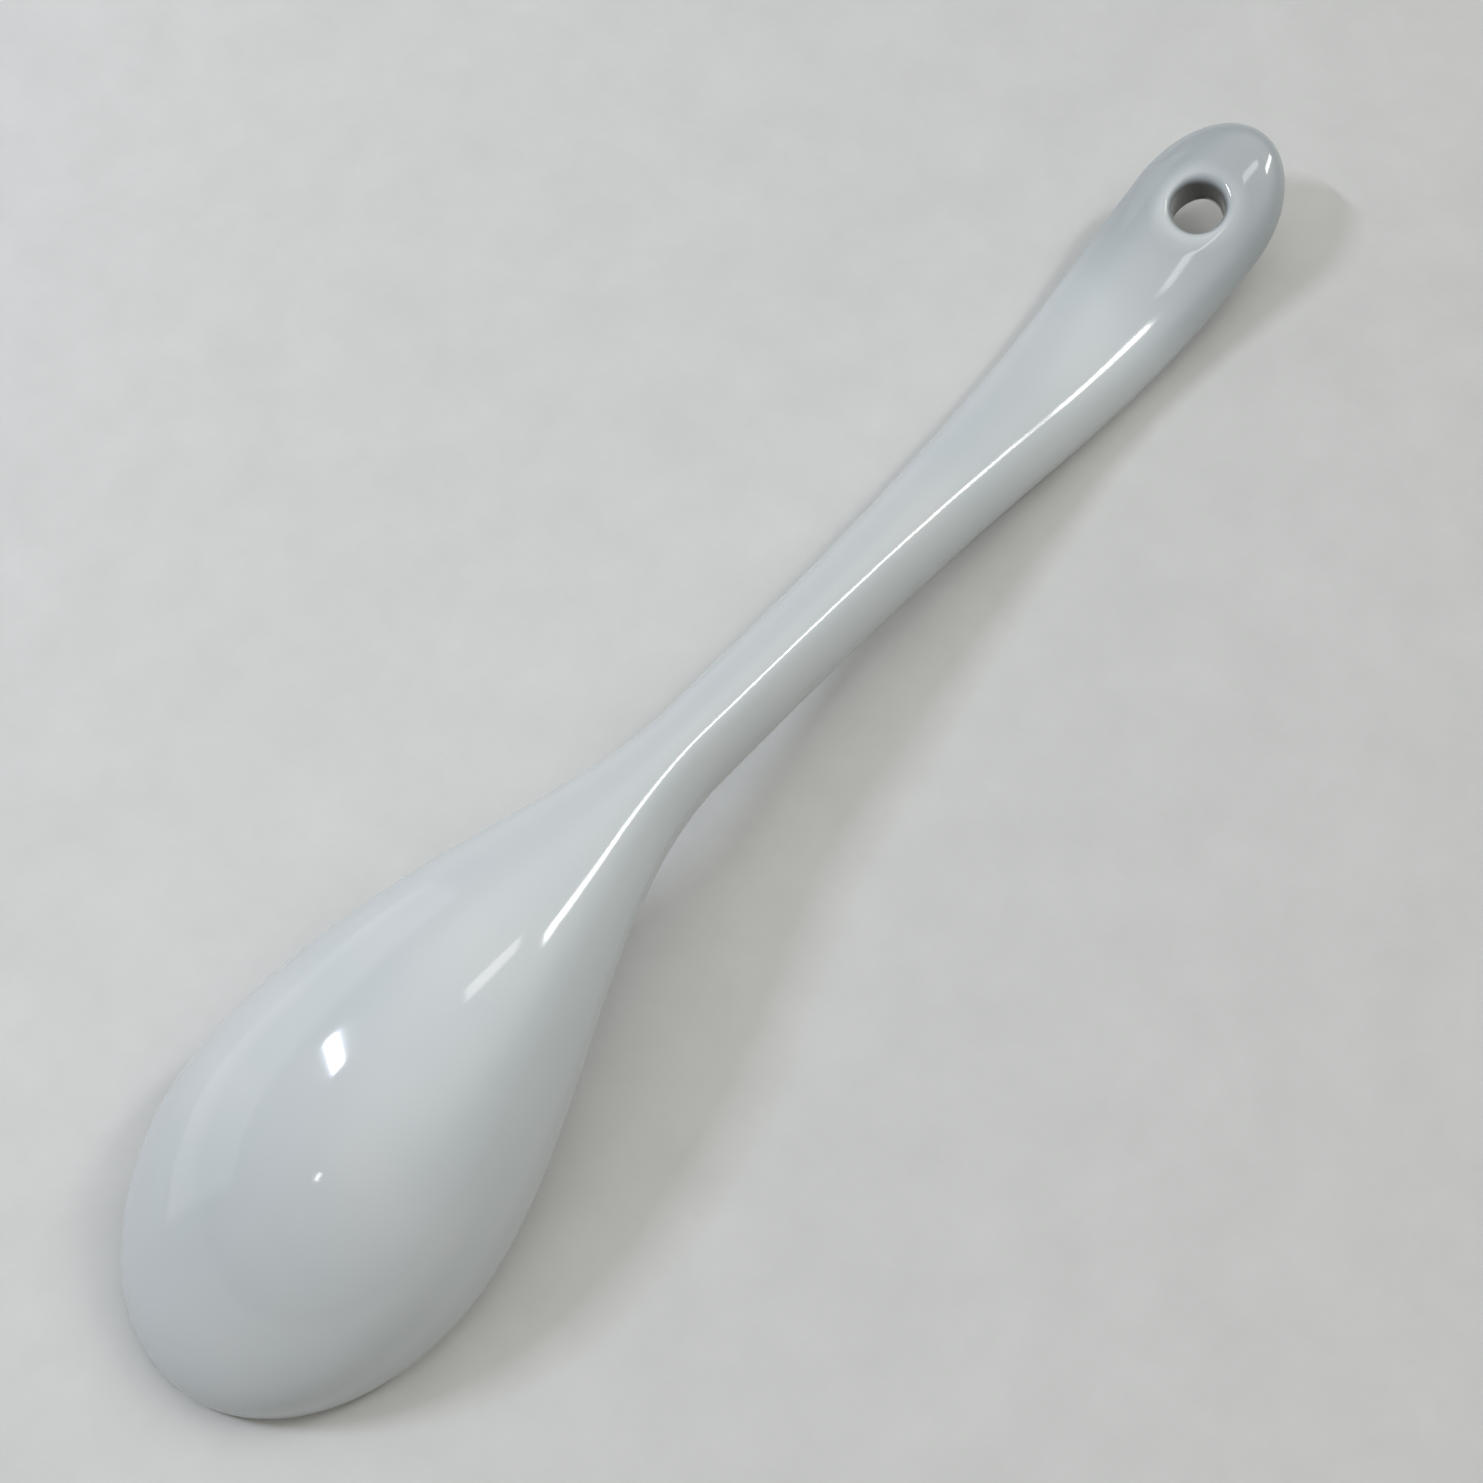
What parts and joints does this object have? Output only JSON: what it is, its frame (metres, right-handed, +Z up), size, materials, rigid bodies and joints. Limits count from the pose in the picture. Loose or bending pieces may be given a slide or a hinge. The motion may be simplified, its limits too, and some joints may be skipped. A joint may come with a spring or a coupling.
{
  "type": "chinese soup spoon",
  "caption": "Glazed porcelain soup spoon with a deep oval bowl, a slim S-curved handle and a hanging hole through its rounded end, lying face down.",
  "frame": {"origin": "on the table, under the middle of the spoon's length and width", "axes": "+X from the bowl's front to the handle's end, +Y across the bowl, +Z up, with the spoon lying face down"},
  "size_m": [0.18, 0.036, 0.0255],
  "materials": {
    "porcelain": "fired, bare and matt",
    "glaze": "clear glossy glaze over white porcelain"
  },
  "bodies": {
    "root": {"porcelain_body": "porcelain", "glaze_coat": "glaze"}
  },
  "joints": []
}
